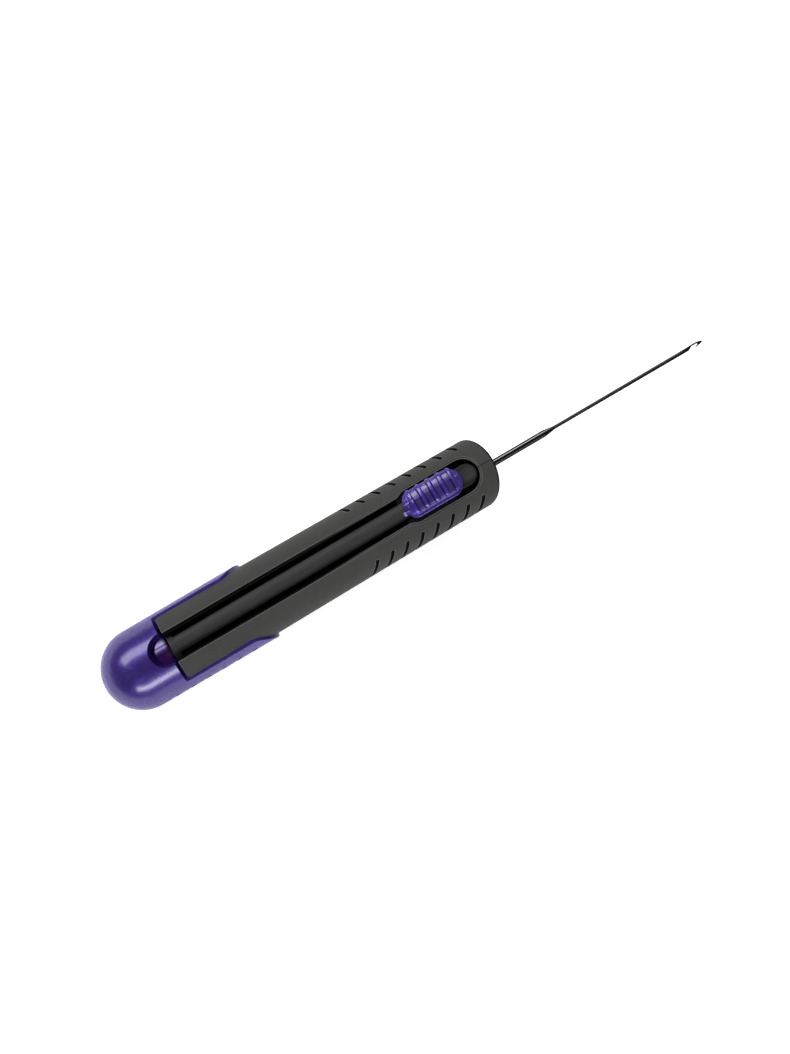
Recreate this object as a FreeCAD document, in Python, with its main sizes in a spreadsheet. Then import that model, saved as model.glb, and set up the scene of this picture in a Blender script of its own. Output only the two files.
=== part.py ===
import FreeCAD, Part
import math
import os
import re

import Sketcher

# Needle threader with a sliding hook: two shell halves, a guide rail, a thumb button on a carriage
# that carries the hook needle, and a cap that pulls off the rear.
#
# Working axes: X runs along the tool, with 0 at the top edge of the nose and + toward the hook.
# Z is up, toward the thumb slot. Each sub-part's Placement then moves it so that the origin is
# under the middle of the tool, on the surface it rests on.

Vector = FreeCAD.Vector
Rotation = FreeCAD.Rotation

ALONG_X = Rotation(Vector(0, 1, 0), 90)
ALONG_Y = Rotation(Vector(1, 0, 0), -90)
SIDE_VIEW = Rotation(Vector(1, 0, 0), 90)
UPRIGHT = Rotation()

# Lengths in millimetres. A name that ends in Back is a distance behind the top edge of the nose.
SIZES = {
    # whole tool
    "TailBack": 91.95, "HookReach": 49.5, "RestDrop": 7.5, "Clear": 0.1, "Beyond": 12,
    # barrel of the two shells
    "NoseRadius": 7.17, "Taper": 0.01265, "NoseSet": 4.4, "NoseRake": 31.7, "NoseFillet": 0.35,
    "ShellBack": 75.75, "BoreRadius": 5.5, "BoreFrontBack": 10, "SpigotRadius": 6.85,
    # thumb slot
    "SlotHalf": 2.9, "SlotWideBack": 21.5, "PocketBack": 18.9, "PocketHalf": 3.6,
    "PocketFrontBack": 3.7, "PocketFloor": 3.0, "TrackHalf": 3.35, "TrackFloor": 6.75,
    "EdgeWide": 0.45, "EdgeDeep": 0.1, "PanelCorner": 0.5, "PanelHalf": 6.86,
    # grip grooves
    "GroovePitch": 3.59, "GripBack": 8.4, "GripRadius": 0.42, "GripSink": 0.18,
    "GripBend": 9.9, "GripLow": -33, "GripHigh": 33,
    # locating pins
    "PinRadius": 0.45, "PinReach": 1.5, "PinDrop": 6.3, "NosePinBack": 8.6, "NosePinDrop": 4.2,
    # guide rail
    "RailHalf": 1.75, "RailBottom": 3.4, "RailShoulder": 5.6, "RailCrown": 3.9, "RailHeadBack": 9.4,
    "RailHeadHalf": 2.3, "RailFrontBack": 4.05, "RailTop": 6.1, "RailHeadFillet": 0.5,
    "RingThick": 1.3, "RingRadius": 6.0,
    # slider
    "ButtonMiddleBack": 14.1, "ButtonLength": 13.1, "ButtonHalf": 3.05, "ButtonBottom": 6.95,
    "ButtonTop": 9.15, "ButtonRim": 7.6, "CrownAcross": 4.6, "CrownAlong": 19.5,
    "RibWidth": 1.0, "RibPitch": 2.36, "RibRise": 0.25, "LegInner": 2.0, "LegThick": 0.65,
    "LegBack": 15.2, "LegLength": 4.0, "LegBottom": 1.2, "NubRadius": 0.45, "NubSide": 0.9,
    "NubHeight": 7.45,
    "CarriageBack": 21.4, "CarriageLength": 11.0, "CarriageRadius": 5.3, "CarriageTop": 3.1,
    # needle, its screw, its guide bush and the spring
    "NeedleDrop": 1.5, "ShankRadius": 0.73, "ShankBack": 20.6, "ShankFront": 11.8,
    "BladeFront": 14.2, "BladeRadius": 0.38, "NeckRadius": 0.42, "HeadRadius": 0.48,
    "ThroatBack": 3.6, "BarbBack": 2.06, "HookFlat": 0.3, "RunGap": 0.05,
    "BushFlange": 2.0, "BushRadius": 1.4, "BushFlangeThick": 0.6, "BushLength": 3.4,
    "ScrewBack": 18.9, "ScrewRadius": 1.0, "ScrewLength": 3.0, "KeyHalf": 0.45, "KeyDepth": 1.2,
    "SpringMiddleBack": 16, "SpringHalf": 4.0, "SpringTop": 4.25, "SpringThick": 0.2,
    "SpringBow": 0.8, "SpringWidth": 2.4,
    # end cap
    "CapRadius": 8.57, "CapMouthBack": 55.8, "CapSocket": 6.95, "CapSocketBack": 76.05,
    "CapCavity": 6.4, "CapCeiling": 4.4, "WindowBack": 76.5, "WindowShelf": 4.15,
    "WindowCorner": 0.7, "ArmRound": 8.0, "ArmDrop": 3.0, "ReliefGap": 0.12,
    "NotchHalf": 3.85, "NotchMiddleBack": 76.5, "NotchDraft": 13.8,
    "CapGripBack": 62, "CapGripRadius": 0.5, "CapGripSink": 0, "CapGripBend": 11.6,
    "CapGripLow": -44, "CapGripHigh": 6,
}

SHELL_GROOVES = 8
CAP_GROOVES = 6
RIBS = 5
PIN_BACKS = (17.0, 33.0, 49.0)

doc = FreeCAD.newDocument("needle_threader")


# ---------------------------------------------------------------- sizes and bindings

def make_sheet():
    """Put every driving length in the spreadsheet, one alias per row."""
    table = doc.addObject("Spreadsheet::Sheet", "Sizes")
    for row, (alias, length) in enumerate(SIZES.items(), start=1):
        table.set(f"A{row}", alias)
        table.set(f"B{row}", str(length))
        table.setAlias(f"B{row}", alias)
    doc.recompute()
    return table


sheet = make_sheet()


def sized(formula):
    """Turn the aliases of a formula into references to the sheet."""
    return re.sub(r"\b([A-Z][A-Za-z]+)\b", r"Sizes.\1", formula)


def value(formula):
    return float(sheet.evalExpression(sized(formula)))


def bind(item, formulas):
    for name, formula in formulas.items():
        item.setExpression(name, sized(formula))


def locate(item, x="0", y="0", z="0", turn=UPRIGHT):
    item.Placement = FreeCAD.Placement(Vector(), turn)
    bind(item, {"Placement.Base.x": x, "Placement.Base.y": y, "Placement.Base.z": z})


def finish(item, label, x="0", z="0"):
    """Name a finished sub-part and move it from the working axes to the part's own frame."""
    item.Label = label
    locate(item, x=f"{x} + (TailBack - HookReach) / 2", z=f"{z} + RestDrop")
    return item


# ---------------------------------------------------------------- Part helpers

def solid(kind, name, formulas, x="0", y="0", z="0", turn=UPRIGHT):
    item = doc.addObject(kind, name)
    bind(item, formulas)
    locate(item, x, y, z, turn)
    return item


def cylinder(name, radius, height, x="0", y="0", z="0", turn=UPRIGHT):
    return solid("Part::Cylinder", name, {"Radius": radius, "Height": height}, x, y, z, turn)


def box(name, length, width, height, x="0", y="0", z="0"):
    return solid("Part::Box", name, {"Length": length, "Width": width, "Height": height}, x, y, z)


def join(name, items):
    fuse = doc.addObject("Part::MultiFuse", name)
    fuse.Shapes = items
    return fuse


def cut(name, base, tool):
    result = doc.addObject("Part::Cut", name)
    result.Base = base
    result.Tool = tool
    return result


def common(name, items):
    result = doc.addObject("Part::MultiCommon", name)
    result.Shapes = items
    return result


# ---------------------------------------------------------------- sketch helpers

def edge_between(start, end, radius, side):
    """An arc shorter than half a turn that bulges to the left (side 1) or to the right (-1)."""
    chord = end - start
    sagitta = radius - math.sqrt(max(radius ** 2 - chord.Length ** 2 / 4, 0))
    left = Vector(-chord.y, chord.x, 0).normalize()
    return Part.Arc(start, (start + end) * 0.5 + left * (sagitta * side), end)


def outline(sketch, corners, tag="Corner"):
    """Closed outline through corners (x, y) or (x, y, radius, side), given as formulas.

    A radius and a side make the edge that starts at the corner an arc.
    """
    points = [Vector(value(corner[0]), value(corner[1]), 0) for corner in corners]
    ends = []
    for number, corner in enumerate(corners):
        start = points[number]
        end = points[(number + 1) % len(points)]
        if len(corner) == 4:
            edge = edge_between(start, end, value(corner[2]), corner[3])
        else:
            edge = Part.LineSegment(start, end)
        index = sketch.addGeometry(edge)
        swapped = (sketch.getPoint(index, 1) - start).Length > (sketch.getPoint(index, 2) - start).Length
        ends.append((index, 2, 1) if swapped else (index, 1, 2))
    for number, corner in enumerate(corners):
        index, first, last = ends[number]
        after = ends[(number + 1) % len(ends)]
        sketch.addConstraint(Sketcher.Constraint("Coincident", index, last, after[0], after[1]))
        for axis, kind in enumerate(("DistanceX", "DistanceY")):
            place = points[number][axis]
            dimension(sketch, Sketcher.Constraint(kind, -1, 1, index, first, place),
                      f"{tag}{number}{'XY'[axis]}", corner[axis])
        if len(corner) == 4:
            dimension(sketch, Sketcher.Constraint("Radius", index, value(corner[2])),
                      f"{tag}{number}R", corner[2])


def circle(sketch, x, y, radius, tag="Circle"):
    centre = Vector(value(x), value(y), 0)
    index = sketch.addGeometry(Part.Circle(centre, Vector(0, 0, 1), value(radius)))
    dimension(sketch, Sketcher.Constraint("DistanceX", -1, 1, index, 3, centre.x), f"{tag}X", x)
    dimension(sketch, Sketcher.Constraint("DistanceY", -1, 1, index, 3, centre.y), f"{tag}Y", y)
    dimension(sketch, Sketcher.Constraint("Radius", index, value(radius)), f"{tag}R", radius)


def dimension(sketch, constraint, name, formula):
    index = sketch.addConstraint(constraint)
    sketch.renameConstraint(index, name)
    bind(sketch, {f"Constraints.{name}": formula})


def prism(name, corners, low, high, turn=UPRIGHT):
    """Extrude a free outline from low to high along the normal of its plane."""
    sketch = doc.addObject("Sketcher::SketchObject", f"{name}_outline")
    sketch.Placement = FreeCAD.Placement(Vector(), turn)
    outline(sketch, corners)
    item = doc.addObject("Part::Extrusion", name)
    item.Base = sketch
    item.DirMode = "Normal"
    item.Solid = True
    bind(item, {"LengthFwd": high, "LengthRev": f"-({low})"})
    return item


def new_body(name):
    return doc.addObject("PartDesign::Body", name)


def body_sketch(body, name, role, offset="0"):
    sketch = body.newObject("Sketcher::SketchObject", name)
    plane = [item for item in body.Origin.OriginFeatures if item.Role == role][0]
    sketch.AttachmentSupport = (plane, [""])
    sketch.MapMode = "FlatFace"
    bind(sketch, {"AttachmentOffset.Base.z": offset})
    return sketch


def extrude(body, kind, sketch, length, both_sides=False, backward=False, taper="0"):
    """A Pad or a Pocket of a sketch, with its length bound to the sheet."""
    feature = body.newObject(f"PartDesign::{kind}", f"{sketch.Name}_{kind.lower()}")
    feature.Profile = sketch
    if both_sides:
        feature.SideType = "Symmetric"
    feature.Reversed = backward
    bind(feature, {"Length": length, "TaperAngle": taper})
    sketch.Visibility = False
    doc.recompute()
    return feature


def revolve(body, sketch, axis):
    feature = body.newObject("PartDesign::Revolution", f"{sketch.Name}_turned")
    feature.Profile = sketch
    feature.ReferenceAxis = (sketch, [axis])
    feature.Angle = 360
    doc.recompute()
    return feature


# ---------------------------------------------------------------- shared outlines and cutters

def window_outline():
    """Side view of the room above and ahead of the cap: rear wall, shelf and rounded arm end."""
    arm_start = "-CapMouthBack - ArmRound + sqrt(ArmRound ^ 2 - (WindowShelf + ArmDrop) ^ 2)"
    return [
        ("-WindowBack", "Beyond"),
        ("-WindowBack", "WindowShelf + WindowCorner", "WindowCorner", -1),
        ("-WindowBack + WindowCorner", "WindowShelf"),
        (arm_start, "WindowShelf", "ArmRound", 1),
        ("-CapMouthBack", "-ArmDrop"),
        ("-CapMouthBack", "-Beyond"),
        ("-CapMouthBack + Beyond", "-Beyond"),
        ("-CapMouthBack + Beyond", "Beyond"),
    ]


def grooves(prefix, count, body_radius):
    """Bent grooves on both sides, each in a plane parallel to the face of the nose.

    The sheet gives each set its Back, Radius, Sink, Bend and its Low and High ends as angles.
    """
    rake = Rotation(Vector(0, 1, 0), value("NoseRake"))
    forward = rake.multVec(Vector(1, 0, 0))
    upward = rake.multVec(Vector(0, 0, 1))
    low = math.radians(value(f"{prefix}Low"))
    high = math.radians(value(f"{prefix}High"))
    bend = value(f"{prefix}Bend")
    ring_sizes = {"Radius1": f"{prefix}Bend", "Radius2": f"{prefix}Radius",
                  "Angle3": f"{prefix}High - {prefix}Low"}
    cutters = []
    for side in (1, -1):
        outward = Vector(0, side, 0)
        start = outward * math.cos(low) + upward * math.sin(low)
        turn = Rotation(start, Vector(), forward * side, "ZXY")
        for number in range(count):
            back = f"({prefix}Back + {number} * GroovePitch)"
            inward = f"({side}) * ({body_radius.format(back=back)} - {prefix}Sink - {prefix}Bend)"
            cutters.append(solid("Part::Torus", f"{prefix}_ring", ring_sizes, f"-{back}", inward,
                                 turn=turn))
            for angle in (low, high):
                end = (outward * math.cos(angle) + upward * math.sin(angle)) * bend
                cutters.append(solid("Part::Sphere", f"{prefix}_end", {"Radius": f"{prefix}Radius"},
                                     f"-{back} + ({end.x})", f"{inward} + ({end.y})", f"{end.z}"))
    return cutters


# ---------------------------------------------------------------- handle

def barrel_cone(name, sink="0"):
    """The tapered barrel, or a slimmer one that lies a little under its surface."""
    return solid("Part::Cone", name, {"Radius1": f"NoseRadius + Taper * ShellBack - {sink}",
                                      "Radius2": f"NoseRadius - Taper * 2 - {sink}",
                                      "Height": "ShellBack + 2"}, "-ShellBack", turn=ALONG_X)


def barrel_blank():
    """Tapered barrel with the slanted nose face and its rounded edge."""
    cone = barrel_cone("barrel")
    ahead = solid("Part::Box", "ahead_of_nose", {"Length": "Beyond", "Width": "2 * Beyond",
                                                 "Height": "4 * Beyond"})
    lean = Rotation(Vector(0, 1, 0), value("NoseRake"))
    locate(ahead, "-NoseSet - 2 * Beyond * sin(NoseRake)", "-Beyond",
           "-2 * Beyond * cos(NoseRake)", lean)
    raked = cut("raked_barrel", cone, ahead)
    doc.recompute()
    facing = lean.multVec(Vector(1, 0, 0))
    rim = [number for number, edge in enumerate(raked.Shape.Edges, start=1)
           if on_plane(edge, Vector(-value("NoseSet"), 0, 0), facing)]
    rounded = doc.addObject("Part::Fillet", "rounded_nose")
    rounded.Base = raked
    radius = value("NoseFillet")
    rounded.Edges = [(number, radius, radius) for number in rim]
    return rounded


def on_plane(edge, point, normal):
    spots = [edge.valueAt(edge.FirstParameter + (edge.LastParameter - edge.FirstParameter) * step / 4)
             for step in range(5)]
    return all(abs((spot - point).dot(normal)) < 1e-4 for spot in spots)


def slot_outline(grow="0"):
    """Plan of the thumb slot: narrow and open at the rear, wide with a round end at the front."""
    slot_half = f"(SlotHalf + {grow})"
    pocket_half = f"(PocketHalf + {grow})"
    bend = "((SlotWideBack - PocketBack) ^ 2 + (PocketHalf - SlotHalf) ^ 2)" \
           " / (4 * (PocketHalf - SlotHalf))"
    middle_x = "-(SlotWideBack + PocketBack) / 2"
    middle_y = f"({slot_half} + {pocket_half}) / 2"
    round_x = "-PocketFrontBack - PocketHalf"
    return [
        ("-ShellBack - 1", f"-{slot_half}"),
        ("-SlotWideBack", f"-{slot_half}", bend, 1),
        (middle_x, f"-{middle_y}", bend, -1),
        ("-PocketBack", f"-{pocket_half}"),
        (round_x, f"-{pocket_half}", pocket_half, -1),
        (f"{round_x} + {pocket_half}", "0", pocket_half, -1),
        (round_x, pocket_half),
        ("-PocketBack", pocket_half, bend, -1),
        (middle_x, middle_y, bend, 1),
        ("-SlotWideBack", slot_half),
        ("-ShellBack - 1", slot_half),
    ]


def shell_cutters():
    """Everything that is hollow in the two shells together."""
    beside_cap = cut("beside_cap",
                     common("cap_room", [
                         prism("below_window", under_window_outline(), "-Beyond", "Beyond", SIDE_VIEW),
                         cylinder("cap_reach", "Beyond", "Beyond * 2", "-ShellBack - 1", turn=ALONG_X)]),
                     cylinder("spigot", "SpigotRadius", "Beyond * 4", "-ShellBack - 2", turn=ALONG_X))
    bore = cylinder("bore", "BoreRadius", "ShellBack + 1 - BoreFrontBack", "-ShellBack - 1",
                    turn=ALONG_X)
    ring_seat = cylinder("ring_seat", "RingRadius + 0.02", "RingThick + 1", "-ShellBack - 1",
                         turn=ALONG_X)
    slot = prism("slot", slot_outline(), "PocketFloor", "Beyond")
    edge_step = cut("edge_step", prism("step_plan", slot_outline("EdgeWide"), "PocketFloor", "Beyond"),
                    barrel_cone("under_step", "EdgeDeep"))
    track = box("track", "ShellBack + 1 - SlotWideBack", "2 * TrackHalf", "Beyond",
                "-ShellBack - 1", "-TrackHalf", "TrackFloor")
    channel = cylinder("needle_channel", "ShankRadius + 0.4", "2 * Beyond", "-BoreFrontBack - 1",
                       z="-NeedleDrop", turn=ALONG_X)
    bush_seat = cylinder("bush_seat", "BushRadius + 0.02", "BushLength + 1", "-BoreFrontBack - 1",
                         z="-NeedleDrop", turn=ALONG_X)
    flange_seat = cylinder("flange_seat", "BushFlange + 0.02", "BushFlangeThick + 1",
                           "-BoreFrontBack - 1", z="-NeedleDrop", turn=ALONG_X)
    under = box("under_rest", "ShellBack + Beyond", "2 * Beyond", "Beyond", "-ShellBack - 1",
                "-Beyond", "-RestDrop - Beyond")
    hollows = [beside_cap, bore, ring_seat, slot, edge_step, track, channel, bush_seat, flange_seat,
               under]
    return hollows + panel_corners() + grooves("Grip", SHELL_GROOVES, "(NoseRadius + Taper * {back})")


def panel_corners():
    """Room outside the rounded rear corners of the top panel."""
    rounds = []
    for side in (1, -1):
        start = "PanelHalf - PanelCorner" if side == 1 else "-PanelHalf - 1"
        block = box("corner_block", "PanelCorner + 1", "PanelCorner + 1", "Beyond",
                    "-ShellBack - 1", start, "WindowShelf")
        post = cylinder("corner_post", "PanelCorner", "2 * Beyond", "-ShellBack + PanelCorner",
                        f"({side}) * (PanelHalf - PanelCorner)")
        rounds.append(cut("corner_round", block, post))
    return rounds


def under_window_outline():
    """Side view of the room that the cap needs, a little larger than the cap's own side view."""
    shelf = "(WindowShelf + ReliefGap)"
    mouth = "(CapMouthBack - ReliefGap)"
    corner = "(ArmRound ^ 2 - (WindowShelf + ReliefGap + ArmDrop) ^ 2)"
    return [
        ("-ShellBack - 1", "-Beyond"),
        (f"-{mouth}", "-Beyond"),
        (f"-{mouth}", "-ArmDrop", "ArmRound", -1),
        (f"-{mouth} - ArmRound + sqrt({corner})", shelf),
        ("-ShellBack - 1", shelf),
    ]


def pins(name, radius, reach, start):
    """Locating pins along Y, three under the bore and one in the nose."""
    places = [(back, "PinDrop") for back in PIN_BACKS] + [("NosePinBack", "NosePinDrop")]
    return [cylinder(name, radius, reach, f"-{back}", start, f"-{drop}", turn=ALONG_Y)
            for back, drop in places]


def make_shells():
    hollow = cut("both_shells", barrel_blank(), join("shell_hollows", shell_cutters()))
    left_room = box("left_room", "ShellBack + Beyond", "Beyond", "4 * Beyond", "-ShellBack - 1",
                    "0", "-2 * Beyond")
    right_room = box("right_room", "ShellBack + Beyond", "Beyond", "4 * Beyond", "-ShellBack - 1",
                     "-Beyond", "-2 * Beyond")
    left_half = common("left_half", [hollow, left_room])
    right_half = common("right_half", [hollow, right_room])
    left = join("left_with_pins", [left_half] + pins("pin", "PinRadius", "2 * PinReach", "-PinReach"))
    holes = join("pin_holes", pins("pin_hole", "PinRadius + 0.03", "PinReach + 1.1",
                                   "-PinReach - 0.1"))
    right = cut("right_with_holes", right_half, holes)
    return [finish(left, "left_shell"), finish(right, "right_shell")]


def make_guide_rail():
    """Crowned rail with a ring at the rear of the bore and a wider, round-ended head in the nose."""
    body = new_body("RailBody")
    section = body_sketch(body, "rail_section", "YZ_Plane", "-ShellBack + RingThick / 2")
    outline(section, [("-RailHalf", "RailBottom"), ("RailHalf", "RailBottom"),
                      ("RailHalf", "RailShoulder", "RailCrown", -1), ("-RailHalf", "RailShoulder")])
    extrude(body, "Pad", section, "ShellBack - RingThick / 2 - RailHeadBack + 2")
    ring = body_sketch(body, "ring_section", "YZ_Plane", "-ShellBack")
    circle(ring, "0", "0", "RingRadius", "Outer")
    circle(ring, "0", "0", "BoreRadius", "Inner")
    extrude(body, "Pad", ring, "RingThick")
    head = body_sketch(body, "head_plan", "XY_Plane", "PocketFloor")
    middle = "-RailFrontBack - RailHeadHalf"
    outline(head, [("-RailHeadBack", "-RailHeadHalf"),
                   (middle, "-RailHeadHalf", "RailHeadHalf", -1),
                   ("-RailFrontBack", "0", "RailHeadHalf", -1),
                   (middle, "RailHeadHalf"),
                   ("-RailHeadBack", "RailHeadHalf")])
    padded = extrude(body, "Pad", head, "RailTop - PocketFloor")
    top = [f"Edge{number}" for number, edge in enumerate(padded.Shape.Edges, start=1)
           if on_plane(edge, Vector(0, 0, value("RailTop")), Vector(0, 0, 1))
           and edge.CenterOfMass.x > -value("RailHeadBack") + 0.5]
    rounded = body.newObject("PartDesign::Fillet", "head_edge")
    rounded.Base = (padded, top)
    bind(rounded, {"Radius": "RailHeadFillet"})
    return finish(body, "guide_rail")


def rectangle(left, right, low, high):
    return [(left, low), (right, low), (right, high), (left, high)]


def make_needle_bush():
    body = new_body("BushBody")
    bore = "(ShankRadius + RunGap)"
    profile = body_sketch(body, "bush_profile", "XZ_Plane")
    outline(profile, [("-BoreFrontBack", bore),
                      ("-BoreFrontBack + BushLength", bore),
                      ("-BoreFrontBack + BushLength", "BushRadius"),
                      ("-BoreFrontBack + BushFlangeThick", "BushRadius"),
                      ("-BoreFrontBack + BushFlangeThick", "BushFlange"),
                      ("-BoreFrontBack", "BushFlange")])
    revolve(body, profile, "H_Axis")
    return finish(body, "needle_bush", z="-NeedleDrop")


# ---------------------------------------------------------------- slider

def stadium(half, grow="0"):
    """Plan of the button, with round ends, grown outward by a margin."""
    radius = f"({half} + {grow})"
    rear = "(-ButtonMiddleBack - ButtonLength / 2 + ButtonHalf)"
    front = "(-ButtonMiddleBack + ButtonLength / 2 - ButtonHalf)"
    return [(rear, f"-{radius}"),
            (front, f"-{radius}", radius, -1),
            (f"{front} + {radius}", "0", radius, -1),
            (front, radius),
            (rear, radius, radius, -1),
            (f"{rear} - {radius}", "0", radius, -1)]


def crown(name, rise):
    """Room under a surface that is curved both across and along the button."""
    across = cylinder(f"{name}_across", f"CrownAcross + {rise}", "ButtonLength + 4",
                      "-ButtonMiddleBack - ButtonLength / 2 - 2", z="ButtonTop - CrownAcross",
                      turn=ALONG_X)
    along = cylinder(f"{name}_along", f"CrownAlong + {rise}", "4 * ButtonHalf",
                     "-ButtonMiddleBack", "-2 * ButtonHalf", "ButtonTop - CrownAlong", ALONG_Y)
    return [across, along]


def make_thumb_button():
    """Crowned button with raised ribs, a flat rim and two legs that straddle the rail."""
    dome = common("button_dome", [prism("button_plan", stadium("ButtonHalf", "-0.25"),
                                        "ButtonBottom", "Beyond")] + crown("dome", "0"))
    rim = prism("button_rim", stadium("ButtonHalf"), "ButtonBottom", "ButtonRim")
    bars = []
    for number in range(RIBS):
        start = f"-ButtonMiddleBack + ({number} - {(RIBS - 1) / 2}) * RibPitch - RibWidth / 2"
        bars.append(box("rib_bar", "RibWidth", "2 * Beyond", "Beyond", start, "-Beyond",
                        "ButtonBottom"))
    ribs = common("ribs", [join("rib_bars", bars), prism("rib_plan", stadium("ButtonHalf"),
                                                         "ButtonBottom", "Beyond")]
                  + crown("rib", "RibRise"))
    legs = [box("leg", "LegLength", "LegThick", "ButtonBottom + 0.3 - LegBottom",
                "-LegBack", start, "LegBottom")
            for start in ("LegInner", "-LegInner - LegThick")]
    nub = cylinder("nub", "NubRadius", "1.6", "-ButtonMiddleBack - ButtonLength / 2 - 0.7",
                   "-NubSide", "NubHeight", ALONG_X)
    return finish(join("button_all", [dome, rim, ribs, nub] + legs), "thumb_button")


def make_carriage():
    """Block that runs in the bore: round below, flat on top, drilled for the needle."""
    body = new_body("CarriageBody")
    half_flat = "sqrt(CarriageRadius ^ 2 - CarriageTop ^ 2)"
    section = body_sketch(body, "carriage_section", "YZ_Plane", "-CarriageBack")
    outline(section, [(half_flat, "CarriageTop"),
                      (f"-{half_flat}", "CarriageTop", "CarriageRadius", -1),
                      ("0", "-CarriageRadius", "CarriageRadius", -1)])
    extrude(body, "Pad", section, "CarriageLength")
    bore = body_sketch(body, "needle_bore", "YZ_Plane", "-CarriageBack - 1")
    circle(bore, "0", "-NeedleDrop", "ShankRadius")
    extrude(body, "Pocket", bore, "CarriageLength + 2", backward=True)
    sockets = body_sketch(body, "leg_sockets", "XY_Plane", "LegBottom")
    rear = "-LegBack"
    front = "-LegBack + LegLength"
    outline(sockets, rectangle(rear, front, "LegInner", "LegInner + LegThick"), "Left")
    outline(sockets, rectangle(rear, front, "-LegInner - LegThick", "-LegInner"), "Right")
    extrude(body, "Pocket", sockets, "Beyond", backward=True)
    thread = body_sketch(body, "screw_bore", "XY_Plane", "-NeedleDrop")
    circle(thread, "-ScrewBack", "0", "ScrewRadius")
    extrude(body, "Pocket", thread, "Beyond", backward=True)
    recess = body_sketch(body, "spring_recess", "XY_Plane", "-SpringTop")
    outline(recess, rectangle("-SpringMiddleBack - SpringHalf - Clear",
                              "-SpringMiddleBack + SpringHalf + Clear",
                              "-SpringWidth / 2 - Clear", "SpringWidth / 2 + Clear"))
    extrude(body, "Pocket", recess, "Beyond")
    return finish(body, "carriage")


def make_hook_needle():
    """Shank, thin blade and a flattened head with an open hook."""
    body = new_body("NeedleBody")
    throat = "(HookReach - ThroatBack)"
    barb = "(HookReach - BarbBack)"
    profile = body_sketch(body, "needle_profile", "XZ_Plane")
    outline(profile, [("-ShankBack", "0"), ("-ShankBack", "ShankRadius - 0.1"),
                      ("-ShankBack + 0.1", "ShankRadius"), ("ShankFront", "ShankRadius"),
                      ("BladeFront", "BladeRadius"), (throat, "NeckRadius"),
                      (barb, "HeadRadius", "4.5", 1), ("HookReach", "0.04"), ("HookReach", "0")])
    revolve(body, profile, "H_Axis")
    mouth = body_sketch(body, "hook_mouth", "XY_Plane")
    outline(mouth, [(throat, "-NeckRadius - 0.05"), (f"{throat} + 1.1", "0.13"),
                    (f"{barb} + 0.75", "0.12"), (f"{barb} + 0.85", "0"),
                    (barb, "-HeadRadius + 0.02"), (barb, "-1"), (throat, "-1")])
    extrude(body, "Pocket", mouth, "4", both_sides=True)
    sides = body_sketch(body, "head_sides", "XZ_Plane")
    outline(sides, [(f"{throat} - 1.5", "1"), (f"{throat} - 1.5", "NeckRadius + 0.02"),
                    (throat, "HookFlat"), ("HookReach + 1", "HookFlat"),
                    ("HookReach + 1", "1")], "Top")
    outline(sides, [(f"{throat} - 1.5", "-1"), (f"{throat} - 1.5", "-NeckRadius - 0.02"),
                    (throat, "-HookFlat"), ("HookReach + 1", "-HookFlat"),
                    ("HookReach + 1", "-1")], "Low")
    extrude(body, "Pocket", sides, "4", both_sides=True)
    return finish(body, "hook_needle", z="-NeedleDrop")


def make_needle_screw():
    body = new_body("ScrewBody")
    shank = body_sketch(body, "screw_shank", "XY_Plane")
    circle(shank, "0", "0", "ScrewRadius")
    extrude(body, "Pad", shank, "ScrewLength")
    key = body_sketch(body, "hex_key", "XY_Plane", "ScrewLength - KeyDepth")
    reach = "(KeyHalf / cos(30))"
    corners = [(f"{reach} * cos({60 * number})", f"{reach} * sin({60 * number})")
               for number in range(6)]
    outline(key, corners)
    extrude(body, "Pocket", key, "ScrewLength", backward=True)
    return finish(body, "needle_screw", "-ScrewBack", "-NeedleDrop + ShankRadius")


def make_detent_spring():
    """Bowed leaf whose middle presses toward the floor of the bore."""
    body = new_body("SpringBody")
    rear = "(-SpringMiddleBack - SpringHalf)"
    front = "(-SpringMiddleBack + SpringHalf)"
    bow = "((SpringHalf ^ 2 + SpringBow ^ 2) / (2 * SpringBow))"
    side = body_sketch(body, "spring_side", "XZ_Plane")
    outline(side, [(rear, "-SpringTop - SpringThick", bow, -1),
                   (front, "-SpringTop - SpringThick"),
                   (front, "-SpringTop", bow, 1),
                   (rear, "-SpringTop")])
    extrude(body, "Pad", side, "SpringWidth", both_sides=True)
    return finish(body, "detent_spring")


# ---------------------------------------------------------------- cap

def make_end_cap():
    """Round-tailed cap with two side arms, a window for the slot and a notch for the button."""
    body = new_body("CapBody")
    tail = "(TailBack - CapRadius)"
    profile = body_sketch(body, "cap_profile", "XZ_Plane")
    outline(profile, [("-CapMouthBack", "CapSocket"), ("-CapMouthBack", "CapRadius"),
                      (f"-{tail}", "CapRadius", "CapRadius", -1),
                      ("-TailBack", "0"), ("-CapSocketBack", "0"), ("-CapSocketBack", "CapSocket")])
    revolve(body, profile, "H_Axis")
    window = body_sketch(body, "window", "XZ_Plane")
    outline(window, window_outline())
    extrude(body, "Pocket", window, "4 * Beyond", both_sides=True)
    notch = body_sketch(body, "notch", "XY_Plane", "CapRadius")
    outline(notch, [("-NotchMiddleBack + 3", "-NotchHalf"), ("-NotchMiddleBack + 3", "NotchHalf"),
                    ("-NotchMiddleBack", "NotchHalf", "NotchHalf", -1),
                    ("-NotchMiddleBack - NotchHalf", "0", "NotchHalf", -1),
                    ("-NotchMiddleBack", "-NotchHalf")])
    extrude(body, "Pocket", notch, "CapRadius - CapCeiling + 0.1", taper="-NotchDraft")
    rest = body_sketch(body, "rest", "XY_Plane", "-RestDrop")
    outline(rest, rectangle("-TailBack - 1", "-CapMouthBack + 1", "-Beyond", "Beyond"))
    extrude(body, "Pocket", rest, "Beyond")
    hollows = join("cap_hollows", [cap_cavity(tail)] + grooves("CapGrip", CAP_GROOVES, "CapRadius"))
    return finish(cut("cap_hollowed", body, hollows), "end_cap")


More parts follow.
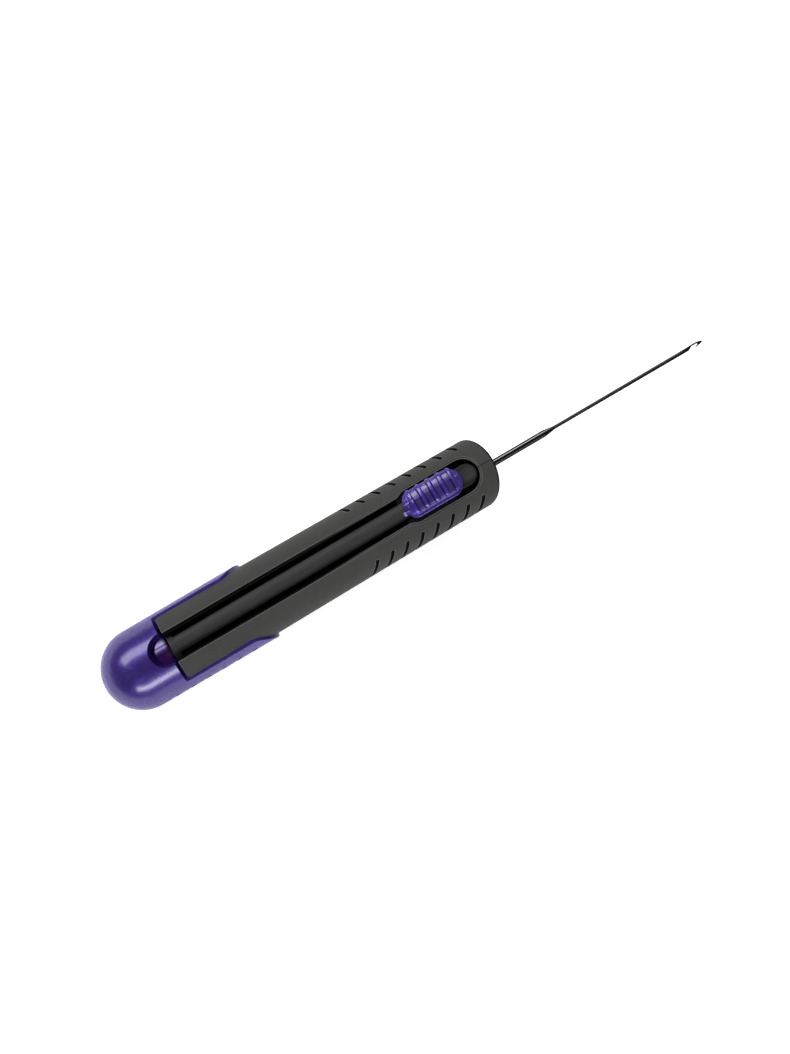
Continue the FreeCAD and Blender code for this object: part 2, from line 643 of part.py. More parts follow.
def cap_cavity(tail):
    """Round room behind the shells, under the flat ceiling that the notch opens through."""
    body = new_body("CavityBody")
    profile = body_sketch(body, "cavity_profile", "XZ_Plane")
    outline(profile, [("-CapSocketBack + 1", "0"), ("-CapSocketBack + 1", "CapCavity"),
                      (f"-{tail}", "CapCavity", "CapCavity", -1), (f"-{tail} - CapCavity", "0")])
    revolve(body, profile, "H_Axis")
    below = box("below_ceiling", "TailBack", "2 * Beyond", "2 * Beyond", "-TailBack", "-Beyond",
                "CapCeiling - 2 * Beyond")
    return common("cap_cavity", [body, below])


# ---------------------------------------------------------------- checks and export

def check(parts):
    for item in doc.Objects:
        if "Invalid" in item.State or "Error" in item.State:
            raise RuntimeError(f"{item.Name} did not compute: {item.State}")
    for item in parts:
        if item.Shape.isNull() or not item.Shape.isValid():
            raise RuntimeError(f"{item.Label} has no valid shape")


def export(parts):
    os.makedirs("parts", exist_ok=True)
    for item in parts:
        item.Shape.exportStep(f"parts/{item.Label}.step")
        extent = item.Shape.BoundBox
        print(f"{item.Label}: {len(item.Shape.Solids)} solid(s), {item.Shape.Volume:.1f} mm3, "
              f"x {extent.XMin:.2f}..{extent.XMax:.2f}, y {extent.YMin:.2f}..{extent.YMax:.2f}, "
              f"z {extent.ZMin:.2f}..{extent.ZMax:.2f}")


def main():
    parts = make_shells()
    parts += [make_guide_rail(), make_needle_bush(), make_thumb_button(), make_carriage(),
              make_hook_needle(), make_needle_screw(), make_detent_spring(), make_end_cap()]
    doc.recompute()
    check(parts)
    export(parts)


main()
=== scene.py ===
import math

import bmesh
import bpy
from mathutils import Matrix, Vector


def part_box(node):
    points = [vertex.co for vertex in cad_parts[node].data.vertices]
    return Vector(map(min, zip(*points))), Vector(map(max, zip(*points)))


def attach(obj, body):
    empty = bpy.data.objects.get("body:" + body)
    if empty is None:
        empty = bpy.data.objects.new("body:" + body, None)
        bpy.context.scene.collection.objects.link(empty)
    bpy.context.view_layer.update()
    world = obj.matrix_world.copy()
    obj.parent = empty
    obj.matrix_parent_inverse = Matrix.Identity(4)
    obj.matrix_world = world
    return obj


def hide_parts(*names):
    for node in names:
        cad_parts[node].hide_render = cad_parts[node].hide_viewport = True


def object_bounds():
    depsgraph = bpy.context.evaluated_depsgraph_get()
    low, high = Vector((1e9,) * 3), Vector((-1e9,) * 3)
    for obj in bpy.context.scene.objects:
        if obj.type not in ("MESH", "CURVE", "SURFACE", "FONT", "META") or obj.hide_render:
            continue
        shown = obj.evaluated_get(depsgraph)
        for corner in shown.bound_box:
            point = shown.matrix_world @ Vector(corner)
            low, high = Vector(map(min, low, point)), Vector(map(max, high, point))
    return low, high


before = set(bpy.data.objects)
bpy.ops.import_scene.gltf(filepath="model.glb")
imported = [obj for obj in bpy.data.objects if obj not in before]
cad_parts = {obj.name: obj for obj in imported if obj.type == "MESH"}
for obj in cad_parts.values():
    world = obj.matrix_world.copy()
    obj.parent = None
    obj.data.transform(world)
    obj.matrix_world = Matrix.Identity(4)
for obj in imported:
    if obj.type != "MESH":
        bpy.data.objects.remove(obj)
CAD_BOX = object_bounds()

MM = 0.001

# X runs along the tool toward the hook and Z is up. The cap is round above its flat underside, so
# the axis of the tool lies one cap radius below the top of the cap, and its rear is a round dome.
CAP_LOW, CAP_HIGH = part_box("end_cap")
CAP_DOME = CAP_LOW.x + CAP_HIGH.y
AXIS_HEIGHT = CAP_HIGH.z - CAP_HIGH.y
FLOOR_HEIGHT = CAD_BOX[0].z

# The barrel tapers toward the nose. The nose's face crosses the axis NOSE_SET behind NOSE_TOP, and
# its top leans forward by NOSE_RAKE.
NOSE_TOP = 0.021225
NOSE_SET = 0.0044
NOSE_RAKE = math.radians(31.7)
NOSE_RADIUS = 0.00717
BARREL_TAPER = 0.01265


# ---------------------------------------------------------------- materials

class Nodes:
    """A material's node tree with short calls for the nodes that this scene uses."""

    def __init__(self, name):
        self.material = bpy.data.materials.new(name)
        self.material.use_nodes = True
        self.tree = self.material.node_tree
        self.shader = self.tree.nodes["Principled BSDF"]

    def add(self, kind, **settings):
        node = self.tree.nodes.new(kind)
        for name, setting in settings.items():
            setattr(node, name, setting)
        return node

    def link(self, source, target):
        self.tree.links.new(source, target)

    def place(self, scale=(1, 1, 1)):
        """The surface's own place in metres, stretched along each axis."""
        coordinates = self.add("ShaderNodeTexCoord")
        mapping = self.add("ShaderNodeMapping")
        mapping.inputs["Scale"].default_value = scale
        self.link(coordinates.outputs["Object"], mapping.inputs["Vector"])
        return mapping.outputs["Vector"]

    def noise(self, place, scale, detail=4, roughness=0.55):
        node = self.add("ShaderNodeTexNoise")
        node.inputs["Scale"].default_value = scale
        node.inputs["Detail"].default_value = detail
        node.inputs["Roughness"].default_value = roughness
        self.link(place, node.inputs["Vector"])
        return node.outputs["Fac"]

    def ramp(self, source, stops):
        """Colours or greys between the stops (position, value)."""
        node = self.add("ShaderNodeValToRGB")
        ramp = node.color_ramp
        while len(ramp.elements) < len(stops):
            ramp.elements.new(0.5)
        for element, (position, tone) in zip(ramp.elements, stops):
            element.position = position
            element.color = (*tone, 1) if isinstance(tone, tuple) else (tone, tone, tone, 1)
        self.link(source, node.inputs["Fac"])
        return node.outputs["Color"]

    def math(self, operation, *inputs):
        """A math node; each input is a socket or a plain number."""
        node = self.add("ShaderNodeMath", operation=operation)
        for socket, source in zip(node.inputs, inputs):
            if isinstance(source, (int, float)):
                socket.default_value = source
            else:
                self.link(source, socket)
        return node.outputs["Value"]

    def step(self, source, zero_at, one_at):
        """0 at the first value and beyond it, 1 at the second, and straight in between."""
        node = self.add("ShaderNodeMapRange", clamp=True)
        node.inputs["From Min"].default_value = zero_at
        node.inputs["From Max"].default_value = one_at
        self.link(source, node.inputs["Value"])
        return node.outputs["Result"]

    def distance(self, *sides):
        """How far a place is off, from its offsets along the axes."""
        squares = [self.math("POWER", side, 2) for side in sides]
        total = squares[0]
        for square in squares[1:]:
            total = self.math("ADD", total, square)
        return self.math("SQRT", total)

    def axes(self, place):
        node = self.add("ShaderNodeSeparateXYZ")
        self.link(place, node.inputs["Vector"])
        return node.outputs["X"], node.outputs["Y"], node.outputs["Z"]

    def mix(self, amount, first, second):
        """Blend of two colours; each is a socket or a tuple."""
        node = self.add("ShaderNodeMix", data_type="RGBA")
        self.link(amount, node.inputs[0])
        for socket, source in ((node.inputs[6], first), (node.inputs[7], second)):
            if isinstance(source, tuple):
                socket.default_value = (*source, 1)
            else:
                self.link(source, socket)
        return node.outputs[2]

    def soft_edges(self, radius):
        """Normals that round every sharp edge a little."""
        node = self.add("ShaderNodeBevel", samples=6)
        node.inputs["Radius"].default_value = radius
        return node.outputs["Normal"]

    def edges(self, radius):
        """1 along sharp edges, 0 on open faces."""
        geometry = self.add("ShaderNodeNewGeometry")
        compare = self.add("ShaderNodeVectorMath", operation="DOT_PRODUCT")
        self.link(self.soft_edges(radius), compare.inputs[0])
        self.link(geometry.outputs["Normal"], compare.inputs[1])
        return self.step(compare.outputs["Value"], 0.97, 0.86)

    def bump(self, height, strength, distance, before=None):
        node = self.add("ShaderNodeBump")
        node.inputs["Strength"].default_value = strength
        node.inputs["Distance"].default_value = distance
        self.link(height, node.inputs["Height"])
        if before is not None:
            self.link(before, node.inputs["Normal"])
        return node.outputs["Normal"]

    def set(self, **values):
        for name, setting in values.items():
            self.shader.inputs[name.replace("_", " ")].default_value = setting

    def feed(self, name, source):
        self.link(source, self.shader.inputs[name])


def barrel_marks(nodes, place):
    """Two masks of painted shade from the place on a shell: deep in a groove or slot, and on the rim of
    the nose.
    """
    x, y, z = nodes.axes(place)
    forward = nodes.math("SUBTRACT", x, NOSE_TOP)
    height = nodes.math("SUBTRACT", z, AXIS_HEIGHT)
    surface = nodes.math("ADD", nodes.math("MULTIPLY", forward, -BARREL_TAPER), NOSE_RADIUS)
    depth = nodes.math("SUBTRACT", surface, nodes.distance(y, height))
    along = nodes.math("MULTIPLY", nodes.math("ADD", forward, NOSE_SET), -math.cos(NOSE_RAKE))
    behind = nodes.math("ADD", along, nodes.math("MULTIPLY", height, math.sin(NOSE_RAKE)))
    # The flat underside lies inside the round surface as a groove does, so the painted shade fades
    # toward it.
    above_rest = nodes.step(nodes.math("SUBTRACT", z, FLOOR_HEIGHT), 0, 3.92 * MM)
    # Painted shade: dark where the surface lies deep below the barrel, in a groove or the slot.
    sunk = nodes.math("MULTIPLY", nodes.step(depth, 0.13 * MM, 0.26 * MM), above_rest)
    behind_face = nodes.step(behind, 0.70 * MM, 0.80 * MM)
    # Painted shade: a dark band round the rim of the nose.
    near_face = nodes.step(behind, 0.56 * MM, 0.44 * MM)
    near_surface = nodes.step(depth, 0.70 * MM, 0.50 * MM)
    return (nodes.math("MULTIPLY", sunk, behind_face),
            nodes.math("MULTIPLY", near_face, near_surface))


def grey(tone):
    return (tone, tone, tone)


def soft_touch_black():
    """Rubber-like black moulding: fine grain, cloudy wear, a dark parting line, painted shade in the
    grooves, the slot and on the nose's rim, and a painted highlight along sharp edges.
    """
    nodes = Nodes("soft_touch_black")
    place = nodes.place()
    cloud = nodes.noise(place, 160, 6, 0.75)
    grain = nodes.noise(place, 5200, 2, 0.7)
    from_seam = nodes.math("ABSOLUTE", nodes.axes(place)[1])
    seam = nodes.step(from_seam, 0.17 * MM, 0.09 * MM)
    groove, rim = barrel_marks(nodes, place)
    # The base colour goes near black for the painted shade in grooves and on the rim, and for the dark
    # parting line.
    dark = nodes.math("MAXIMUM", nodes.math("MAXIMUM", groove, rim), nodes.math("MULTIPLY", seam, 0.75))
    body = nodes.ramp(cloud, [(0.3, (0.034, 0.034, 0.033)), (0.7, (0.042, 0.042, 0.041))])
    # Painted highlight: a lighter grey along sharp edges.
    edge_highlight = nodes.mix(nodes.edges(0.3 * MM), body, (0.12, 0.12, 0.117))
    nodes.feed("Base Color", nodes.mix(dark, edge_highlight, grey(0.002)))
    matt = nodes.math("MULTIPLY", dark, 0.35)
    nodes.feed("Roughness", nodes.math("ADD", nodes.ramp(cloud, [(0.3, 0.58), (0.7, 0.68)]), matt))
    nodes.set(Specular_IOR_Level=0.11)
    relief = nodes.math("SUBTRACT", nodes.math("MULTIPLY", grain, 0.3), seam)
    nodes.feed("Normal", nodes.bump(relief, 0.5, 0.04 * MM, nodes.soft_edges(0.08 * MM)))
    return nodes.material


def satin_black():
    """Harder, smoother black plastic of the guide rail, with painted shade darkening it down its
    flanks.
    """
    nodes = Nodes("satin_black")
    streak = nodes.noise(nodes.place((0.12, 1, 1)), 1800, 3)
    from_middle = nodes.math("ABSOLUTE", nodes.axes(nodes.place())[1])
    # Painted shade: the colour darkens from the rail's middle toward its flanks.
    flank_shade = nodes.step(from_middle, 0.80 * MM, 1.75 * MM)
    body = nodes.ramp(streak, [(0.3, grey(0.019)), (0.7, grey(0.025))])
    nodes.feed("Base Color", nodes.mix(flank_shade, body, grey(0.006)))
    nodes.feed("Roughness", nodes.ramp(streak, [(0.3, 0.46), (0.7, 0.56)]))
    nodes.feed("Normal", nodes.bump(streak, 0.12, 0.02 * MM, nodes.soft_edges(0.2 * MM)))
    nodes.set(Specular_IOR_Level=0.18)
    return nodes.material


def violet(name, dark, light, rough, edge_radius):
    """Deep violet pearly plastic: flow marks, a wavy polish, fine drag marks and a soft gloss."""
    nodes = Nodes(name)
    flow = nodes.noise(nodes.place((0.5, 1, 1)), 420, 4)
    fine = nodes.noise(nodes.place((1, 0.22, 0.22)), 2600, 3, 0.6)
    nodes.feed("Base Color", nodes.ramp(flow, [(0.3, dark), (0.7, light)]))
    nodes.feed("Roughness", nodes.ramp(fine, [(0.3, rough), (0.7, rough + 0.14)]))
    waves = nodes.noise(nodes.place((1, 0.5, 0.5)), 1100, 3)
    wavy = nodes.bump(waves, 0.85, 0.35 * MM, nodes.soft_edges(edge_radius))
    nodes.feed("Normal", nodes.bump(fine, 0.42, 0.04 * MM, wavy))
    nodes.set(Metallic=0.43, Transmission_Weight=0.12, IOR=1.2, Coat_Weight=0.34, Coat_Roughness=0.22,
              Coat_IOR=2.0, Specular_Tint=(0.6, 0.55, 1.0, 1))
    return nodes


def cap_violet():
    """The cap's violet, with a painted glow and painted highlight streaks on its inside, standing in
    for light that comes through the wall.
    """
    nodes = violet("cap_violet", (0.022, 0.007, 0.120), (0.036, 0.015, 0.165), 0.32, 0.25 * MM)
    x, y, z = nodes.axes(nodes.place())
    height = nodes.math("SUBTRACT", z, AXIS_HEIGHT)
    in_dome = nodes.math("MINIMUM", nodes.math("SUBTRACT", x, CAP_DOME), 0)
    inside = nodes.step(nodes.distance(y, height, in_dome), 6.65 * MM, 6.55 * MM)
    low_down = nodes.step(height, -1 * MM, -2 * MM)
    # The stops of these two ramps are shares of 100 mm toward the rear and of 5 mm toward +Y.
    in_rear = nodes.ramp(nodes.math("DIVIDE", x, -100 * MM), [(0.560, 0.0), (0.566, 1.0)])
    painted_glow = nodes.ramp(nodes.math("DIVIDE", y, 5 * MM), [
        (0.25, (0.020, 0.003, 0.045)), (0.36, (0.08, 0.045, 0.19)), (0.44, (0.36, 0.31, 0.56)),
        (0.50, (0.08, 0.045, 0.20)), (0.58, (0.46, 0.42, 0.66)), (0.74, (0.06, 0.035, 0.16))])
    # Painted light: the emission paints a glow, with two pale highlight streaks, on the cap's inside
    # low down at the rear.
    nodes.feed("Emission Color", painted_glow)
    within = nodes.math("MULTIPLY", nodes.math("MULTIPLY", inside, in_rear), low_down)
    nodes.feed("Emission Strength", within)
    return nodes.material


def dark_steel():
    """Black polished needle steel with fine grinding lines and a painted highlight in a light band
    along its +Y side.
    """
    nodes = Nodes("dark_steel")
    lines = nodes.noise(nodes.place((6, 1, 1)), 900, 3, 0.6)
    dark = nodes.ramp(lines, [(0.3, (0.014, 0.014, 0.015)), (0.7, (0.026, 0.026, 0.027))])
    side = nodes.axes(nodes.place())[1]
    # Painted highlight: a light band along the needle's +Y side.
    highlight_band = nodes.math("MULTIPLY", nodes.step(side, 0.18 * MM, 0.26 * MM),
                        nodes.step(side, 0.49 * MM, 0.40 * MM))
    nodes.feed("Base Color", nodes.mix(highlight_band, dark, (0.13, 0.13, 0.135)))
    nodes.feed("Roughness", nodes.ramp(lines, [(0.3, 0.20), (0.7, 0.30)]))
    nodes.feed("Normal", nodes.bump(lines, 0.08, 0.02 * MM))
    nodes.set(Metallic=1.0, Specular_Tint=(*grey(0.25), 1))
    return nodes.material


def plain_steel(name, dark, light, rough):
    """Steel of the small inner pieces, with rolling marks."""
    nodes = Nodes(name)
    marks = nodes.noise(nodes.place((0.3, 1, 1)), 1500, 3)
    nodes.feed("Base Color", nodes.ramp(marks, [(0.3, grey(dark)), (0.7, grey(light))]))
    nodes.feed("Roughness", nodes.ramp(marks, [(0.3, rough), (0.7, rough + 0.12)]))
    nodes.set(Metallic=1.0)
    return nodes.material


def turned_brass():
    """Brass of the needle's guide, with turning lines round it."""
    nodes = Nodes("turned_brass")
    marks = nodes.noise(nodes.place((8, 1, 1)), 700, 3)
    body = nodes.ramp(marks, [(0.3, (0.62, 0.45, 0.20)), (0.7, (0.76, 0.58, 0.30))])
    nodes.feed("Base Color", body)
    nodes.feed("Roughness", nodes.ramp(marks, [(0.3, 0.22), (0.7, 0.36)]))
    nodes.set(Metallic=1.0)
    return nodes.material


def moulded_grey():
    """Grey acetal of the carriage."""
    nodes = Nodes("moulded_grey")
    cloud = nodes.noise(nodes.place(), 500, 3)
    body = nodes.ramp(cloud, [(0.3, (0.075, 0.075, 0.080)), (0.7, (0.10, 0.10, 0.105))])
    nodes.feed("Base Color", body)
    nodes.feed("Roughness", nodes.ramp(cloud, [(0.3, 0.38), (0.7, 0.5)]))
    return nodes.material


def pale_floor():
    """White floor with a weak glow of its own."""
    nodes = Nodes("pale_floor")
    cloud = nodes.noise(nodes.place(), 6, 3)
    nodes.feed("Base Color", nodes.ramp(cloud, [(0.3, grey(0.90)), (0.7, grey(0.92))]))
    nodes.set(Roughness=0.9, Emission_Color=(1, 1, 1, 1), Emission_Strength=0.52)
    return nodes.material


def paint(obj, material):
    obj.data.materials.clear()
    obj.data.materials.append(material)


def paint_cad_nodes():
    black = soft_touch_black()
    looks = {
        "left_shell": black, "right_shell": black, "guide_rail": satin_black(),
        "needle_bush": turned_brass(),
        "end_cap": cap_violet(),
        "carriage": moulded_grey(), "hook_needle": dark_steel(),
        "needle_screw": plain_steel("black_screw", 0.10, 0.16, 0.3),
        "detent_spring": plain_steel("spring_leaf", 0.42, 0.55, 0.2),
    }
    for node, material in looks.items():
        paint(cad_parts[node], material)


# ---------------------------------------------------------------- thumb button

BUTTON_LOW, BUTTON_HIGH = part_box("thumb_button")
NUB_REACH = 0.7 * MM
BUTTON_REAR, BUTTON_FRONT = BUTTON_LOW.x + NUB_REACH, BUTTON_HIGH.x

# Sizes of the button in mm. Places on it are from the middle of its length and from the tool's
# axis, and its left is +Y.
HALF_LENGTH = (BUTTON_FRONT - BUTTON_REAR) / MM / 2
BUTTON_SIDE = 0.18
RIBS = 5
RIB_PITCH = 2.36
RIB_AHEAD = 0.15
RIB_HALF = 0.56
RIB_RISE = 0.30
WINDOW_SINK = 0.28
WINDOW_EDGE = (2.02, 2.22)
BODY_HALF = 2.62
BODY_INSET = 0.12
BODY_SKIRT = 0.2
LEFT_OUT, LEFT_RIB_OUT = 0.20, 0.26
RIGHT_IN, RIGHT_RIB_OUT = 0.10, 0.08
REAR_ROUND = 2.5
FRONT_ROUND = 2.6
SEAT = 7.55
CROWN_TOP = 9.15
CROWN_ALONG, CROWN_ACROSS = 19.5, 5.5
FRONT_DROP, FRONT_FALL = 1.25, (4.9, 7.1)
REAR_DROP, REAR_FALL = 0.55, (5.2, 6.6)
ENDS_FROM = 5.3
SEAM_SIDE = 0.48
SEAM_WIDTH = 0.12
SEAM_RISE_AT_ENDS, SEAM_RISE = 0.20, 0.02
PIPS = ((-5.75, 1.35), (-5.75, 0.6), (-5.75, -0.1), (-4.6, 1.0), (-4.45, 0.2))
PIP_WIDTH = 0.17
PIP_RISE = 0.14
FLANGE_TRIM = 0.27
FLANGE_LEVELS = ((6.95, 0.08), (7.02, 0.0), (7.44, 0.0), (7.54, 0.04), (7.60, 0.14))
NUB_PLACE = (-6.4, -1.1, 7.6)
NUB_RADIUS = 0.5
NUB_PROFILE = ((1.2, 0.8), (-0.2, 0.8), (-0.4, 1), (-0.65, 0.98), (-0.85, 0.78), (-0.98, 0.4))
NUB_BACK = -6.72
LEG_LENGTH = (-1.1, 2.75)
LEG_SIDE = (2.0, 2.65)
LEG_HEIGHT = (1.25, 7.2)

# What tells the looks of the button's faces apart: lowest heights and half widths in mm of the
# painted highlight on seam and pips, where a rib's rear slope with painted shade lies in shares of
# the pitch, how little a wall faces up for painted shade, and how far a face has to be inside a window.
TOP_FROM, WALL_FROM, WINDOW_FROM = 7.7, 7.62, 7.9
HIGHLIGHT_SEAM, HIGHLIGHT_PIP = 0.11, 0.14
SHADED_SLOPE = (-0.30, -0.13)
STEEP = 0.35
WELL_INSIDE = 0.6

# Name, darkest and lightest violet, and least roughness, by the material's number on the button.
# The third look is painted shade and the fourth a painted highlight.
BUTTON_LOOKS = (
    ("button_violet", (0.036, 0.014, 0.205), (0.057, 0.027, 0.275), 0.34),
    ("window_violet", (0.031, 0.014, 0.125), (0.050, 0.026, 0.180), 0.27),
    ("shaded_violet", (0.007, 0.002, 0.050), (0.013, 0.004, 0.080), 0.40),
    ("highlight_violet", (0.170, 0.130, 0.430), (0.240, 0.190, 0.540), 0.28),
)
PLAIN, WINDOW, SHADED, HIGHLIGHTED = range(4)


def smooth(low, high, value):
    """0 up to low, 1 from high on, with a soft rise in between."""
    share = min(max((value - low) / (high - low), 0), 1)
    return share * share * (3 - 2 * share)


def rounded(share, power, root):
    """Steep rise from 0 at share 0 that levels off to 1 at share 1."""
    return max(1 - (1 - share) ** power, 0) ** (1 / root)


def mound(off, width):
    """Bell curve: 1 in its middle, where off is 0."""
    return math.exp(-(off / width) ** 2)


def spot(x, y, z):
    """The scene's place for a place on the button, which sits a little toward +Y."""
    middle = (BUTTON_REAR + BUTTON_FRONT) / 2
    return Vector((middle + x * MM, (y + BUTTON_SIDE) * MM, AXIS_HEIGHT + z * MM))


def rib(x):
    """1 on top of a rib, 0 between the ribs."""
    along = (x - RIB_AHEAD) / RIB_PITCH
    nearest = min(max(round(along + (RIBS - 1) / 2), 0), RIBS - 1) - (RIBS - 1) / 2
    off = abs(along - nearest) * RIB_PITCH / RIB_HALF
    return (1 - off ** 4) ** 1.5 if off < 1 else 0


def plan_half(x, half_length, half_width):
    """Half the width of the plan: blunt at the rear, drawn out like a bullet at the front."""
    rear = min((x + half_length) / REAR_ROUND, 1)
    front = min((half_length - x) / FRONT_ROUND, 1)
    return half_width * min(rounded(rear, 2.5, 2.3), rounded(front, 1.9, 1.9))


def in_window(x, y):
    """1 inside one of the sunk fields between the ribs, 0 outside them."""
    reach = RIB_PITCH * (RIBS - 1) / 2
    between = 1 if abs(x - RIB_AHEAD) < reach else 0
    return between * (1 - smooth(0.0, 0.5, rib(x))) * (1 - smooth(*WINDOW_EDGE, abs(y)))


def button_height(x, y):
    """Height of the button's top over a place in its plan."""
    fall_along = CROWN_ALONG - math.sqrt(CROWN_ALONG ** 2 - x ** 2)
    fall_across = CROWN_ACROSS - math.sqrt(CROWN_ACROSS ** 2 - y ** 2)
    front_drop = FRONT_DROP * smooth(*FRONT_FALL, x)
    rear_drop = REAR_DROP * smooth(*REAR_FALL, -x)
    height = CROWN_TOP - fall_along - fall_across - front_drop - rear_drop
    height += RIB_RISE * rib(x) - WINDOW_SINK * in_window(x, y)
    seam = SEAM_RISE_AT_ENDS if abs(x) > ENDS_FROM else SEAM_RISE
    height += seam * mound(y - SEAM_SIDE, SEAM_WIDTH)
    return height + sum(PIP_RISE * mound(math.hypot(x - pip_x, y - pip_y), PIP_WIDTH)
                        for pip_x, pip_y in PIPS)


def button_body(mesh):
    """Loft of cross-sections from the rear to the front of the button, wider at the ribs."""
    length = HALF_LENGTH - BODY_INSET
    stations, steps, open_end = 240, 96, 0.004
    rings = []
    for i in range(stations + 1):
        x = -length * math.cos(math.pi * (open_end + (1 - 2 * open_end) * i / stations))
        half = plan_half(x, length, BODY_HALF)
        left = half + LEFT_OUT + LEFT_RIB_OUT * rib(x)
        right = -half + RIGHT_IN - RIGHT_RIB_OUT * rib(x)
        middle, reach = (left + right) / 2, (left - right) / 2
        ring = [mesh.verts.new(spot(x, left, SEAT - BODY_SKIRT))]
        for j in range(steps + 1):
            share = math.sin(math.pi / 2 * (1 - 2 * j / steps))
            y = middle + reach * share
            lift = rounded(1 - abs(share), 9, 2.5)
            ring.append(mesh.verts.new(spot(x, y, SEAT + (button_height(x, y) - SEAT) * lift)))
        ring.append(mesh.verts.new(spot(x, right, SEAT - BODY_SKIRT)))
        rings.append(ring)
    bridge(mesh, rings)


def bridge(mesh, rings):
    """Faces between closed rings of equal length, with both ends closed."""
    for ring, after in zip(rings, rings[1:]):
        for j in range(len(ring)):
            k = (j + 1) % len(ring)
            mesh.faces.new((ring[j], ring[k], after[k], after[j]))
    mesh.faces.new(list(reversed(rings[0])))
    mesh.faces.new(rings[-1])


def button_flange(mesh):
    """Thin rounded plate under the body, which shows as a bright rim."""
    half = BUTTON_HIGH.y / MM
    count = 120
    outline = [-math.cos(math.pi * i / count) * HALF_LENGTH for i in range(count + 1)]
    rings = []
    for height, inset in FLANGE_LEVELS:
        ring = []
        for side, stations, width in ((1, outline[:-1], half - FLANGE_TRIM),
                                      (-1, outline[:0:-1], half)):
            for x in stations:
                y = side * plan_half(x, HALF_LENGTH, width)
                place = spot(x * (1 - inset / HALF_LENGTH), y * (1 - inset / half), height)
                ring.append(mesh.verts.new(place))
        rings.append(ring)
    bridge(mesh, rings)


def button_nub(mesh):
    """Small round gate mark at the rear."""
    x, y, z = NUB_PLACE
    turn = [math.radians(30 * k) for k in range(12)]
    rings = []
    for back, share in NUB_PROFILE:
        radius = NUB_RADIUS * share
        rings.append([mesh.verts.new(spot(x + back, y + radius * math.cos(angle),
                                          z + radius * math.sin(angle)))
                      for angle in turn])
    bridge(mesh, rings)


def button_legs(mesh):
    """Two legs that pass beside the rail into the carriage, alike about the tool's middle."""
    for side in (1, -1):
        made = bmesh.ops.create_cube(mesh, size=1)["verts"]
        corners = [spot(x, side * y - BUTTON_SIDE, z)
                   for x, y, z in zip(LEG_LENGTH, LEG_SIDE, LEG_HEIGHT)]
        for vert in made:
            vert.co = Vector([corners[vert.co[k] >= 0][k] for k in range(3)])
        edges = list({edge for vert in made for edge in vert.link_edges})
        bmesh.ops.bevel(mesh, geom=edges, offset=0.08 * MM, segments=2, affect="EDGES")


def button_tone(offset, normal):
    """Which of the button's looks a face has, from its place on the button and where it faces."""
    on_seam = abs(offset.x) > ENDS_FROM and abs(offset.y - SEAM_SIDE) < HIGHLIGHT_SEAM
    on_pip = any(math.hypot(offset.x - x, offset.y - y) < HIGHLIGHT_PIP for x, y in PIPS)
    # Painted highlight: the raised seam, the pips and the rear nub get the light look.
    if ((on_seam or on_pip) and offset.z > TOP_FROM) or offset.x < NUB_BACK:
        return HIGHLIGHTED
    along = (offset.x - RIB_AHEAD) / RIB_PITCH
    past_rib = (along + RIBS / 2) % 1 - 0.5
    on_slope = SHADED_SLOPE[0] < past_rib < SHADED_SLOPE[1]
    rear_slope = on_slope and -(RIBS - 1) / 2 < along < RIBS / 2
    # Painted shade: the rear slope of each rib and the steep walls get the dark look.
    if (rear_slope or abs(normal.z) < STEEP) and offset.z > WALL_FROM:
        return SHADED
    window = in_window(offset.x, offset.y) > WELL_INSIDE and offset.z > WINDOW_FROM
    return WINDOW if window else PLAIN


def make_button():
    mesh = bmesh.new()
    button_body(mesh)
    button_flange(mesh)
    button_nub(mesh)
    button_legs(mesh)
    bmesh.ops.recalc_face_normals(mesh, faces=mesh.faces)
    for face in mesh.faces:
        face.smooth = True
        offset = (face.calc_center_median() - spot(0, 0, 0)) / MM
        face.material_index = button_tone(offset, face.normal)
    data = bpy.data.meshes.new("thumb_pad")
    mesh.to_mesh(data)
    mesh.free()
    data.set_sharp_from_angle(angle=math.radians(50))
    button = bpy.data.objects.new("thumb_pad", data)
    bpy.context.collection.objects.link(button)
    for name, dark, light, rough in BUTTON_LOOKS:
        data.materials.append(violet(name, dark, light, rough, 0.06 * MM).material)
    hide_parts("thumb_button")
    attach(button, "slider")


# ---------------------------------------------------------------- floor, lights and camera

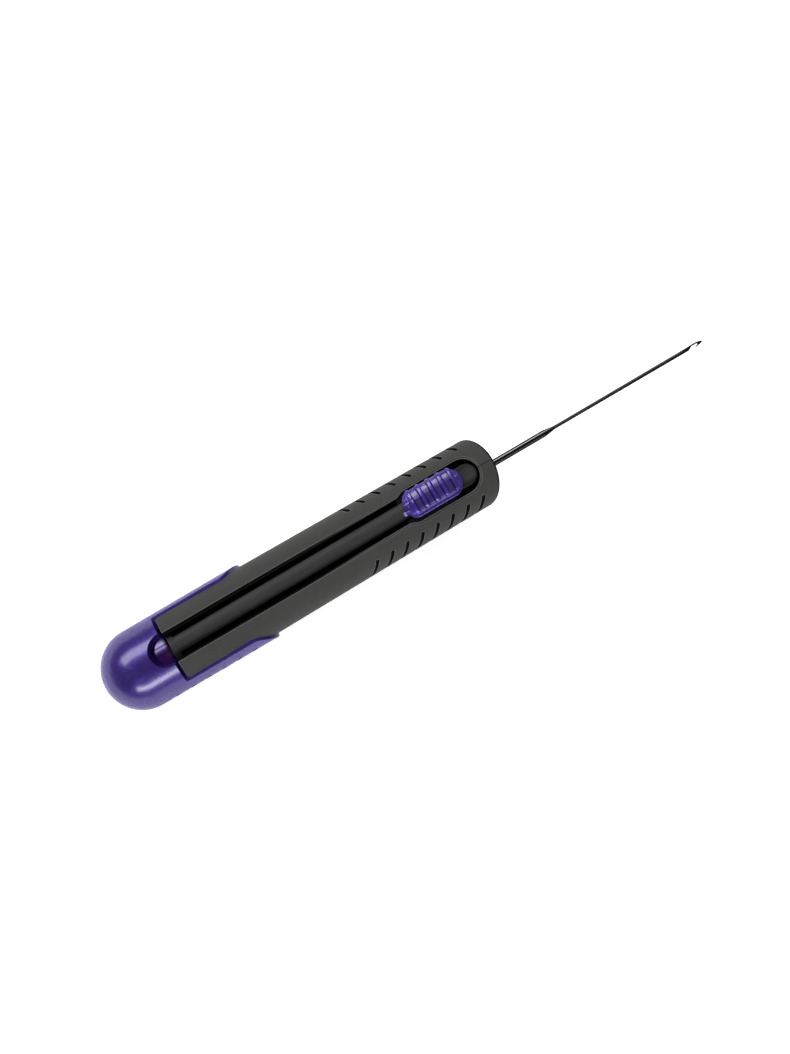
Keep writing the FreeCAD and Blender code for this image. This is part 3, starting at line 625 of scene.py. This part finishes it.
def make_floor():
    half = 2.0
    gap = 0.2 * MM
    mesh = bpy.data.meshes.new("floor")
    corners = [(-half, -half, 0), (half, -half, 0), (half, half, 0), (-half, half, 0)]
    mesh.from_pydata(corners, [], [(0, 1, 2, 3)])
    floor = bpy.data.objects.new("floor", mesh)
    floor.location.z = FLOOR_HEIGHT - gap
    bpy.context.collection.objects.link(floor)
    paint(floor, pale_floor())


def softbox(name, place, size, power):
    """Soft lamp that faces the middle of the tool."""
    light = bpy.data.lights.new(name, "AREA")
    light.shape = "RECTANGLE"
    light.size, light.size_y = size
    light.energy = power
    lamp = bpy.data.objects.new(name, light)
    lamp.location = place
    lamp.rotation_mode = "QUATERNION"
    middle = Vector((0, 0, AXIS_HEIGHT))
    lamp.rotation_quaternion = (middle - Vector(place)).to_track_quat("-Z", "Y")
    bpy.context.collection.objects.link(lamp)


def make_lights():
    world = bpy.data.worlds.new("studio")
    world.use_nodes = True
    background = world.node_tree.nodes["Background"]
    background.inputs["Color"].default_value = (1, 1, 1, 1)
    background.inputs["Strength"].default_value = 0.22
    bpy.context.scene.world = world
    softbox("left_box", place=(-0.05, 0.37, 0.41), size=(0.74, 0.24), power=4.0)
    softbox("right_box", place=(-0.15, -0.47, 0.28), size=(0.5, 0.12), power=2.6)
    bpy.context.scene.view_settings.view_transform = "Standard"


def make_camera():
    """Camera nearly overhead, leaning a little toward -Y and rolled so the hook points up right."""
    lean = math.radians(6)
    roll = math.radians(30.4)
    focal_mm = 100
    distance = 0.5985
    target = Vector((-0.00298, -0.00125, AXIS_HEIGHT))
    back = Vector((0, -math.sin(lean), math.cos(lean)))
    level_up = Vector((0, math.cos(lean), math.sin(lean)))
    along = Vector((1, 0, 0))
    right = along * math.cos(roll) - level_up * math.sin(roll)
    up = along * math.sin(roll) + level_up * math.cos(roll)
    data = bpy.data.cameras.new("camera")
    data.lens = focal_mm
    data.clip_start, data.clip_end = 0.01, 20
    camera = bpy.data.objects.new("camera", data)
    pose = Matrix((right, up, back)).transposed().to_4x4()
    pose.translation = target + back * distance
    camera.matrix_world = pose
    bpy.context.collection.objects.link(camera)
    bpy.context.scene.camera = camera


paint_cad_nodes()
make_button()
make_floor()
make_lights()
make_camera()
